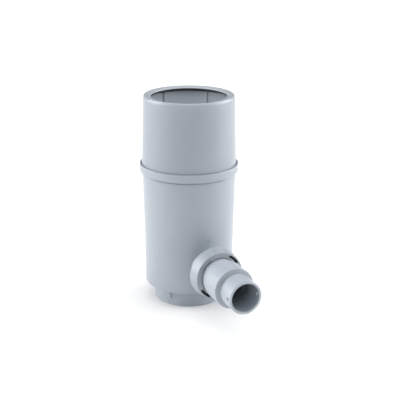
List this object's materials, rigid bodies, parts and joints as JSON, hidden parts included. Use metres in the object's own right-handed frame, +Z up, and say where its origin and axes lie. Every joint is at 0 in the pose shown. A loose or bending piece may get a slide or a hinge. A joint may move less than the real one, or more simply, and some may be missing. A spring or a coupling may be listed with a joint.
{
  "type": "downpipe filter",
  "caption": "Rainwater filter for a round downpipe: open top inlet, strainer basket inside, stepped side outlet for a hose and a bottom spigot.",
  "frame": {"origin": "on the main vertical axis, at the lower end of the bottom spigot", "axes": "+Z up along the downpipe, towards the inlet; the side outlet points along -Y"},
  "size_m": [0.1518, 0.2737, 0.3242],
  "materials": {
    "housing_plastic": "light grey polypropylene, satin",
    "sleeve_plastic": "light grey polypropylene, satin",
    "ring_plastic": "light grey polypropylene, satin",
    "adaptor_plastic": "light grey polypropylene, satin",
    "cage_plastic": "light grey polypropylene, satin",
    "screen_steel": "perforated stainless steel, mill finish",
    "seal_rubber": "black EPDM, matte"
  },
  "bodies": {
    "root": {"lower_housing": "housing_plastic", "upper_housing": "sleeve_plastic", "inlet_seal": "seal_rubber", "filter_cage": "cage_plastic", "filter_screen": "screen_steel", "screen_retainer": "cage_plastic", "flange_seal": "seal_rubber", "standpipe_seal": "seal_rubber", "outlet_gasket": "seal_rubber", "coupling_ring": "ring_plastic", "outlet_nipple": "adaptor_plastic", "outlet_adaptor": "adaptor_plastic"}
  },
  "joints": []
}
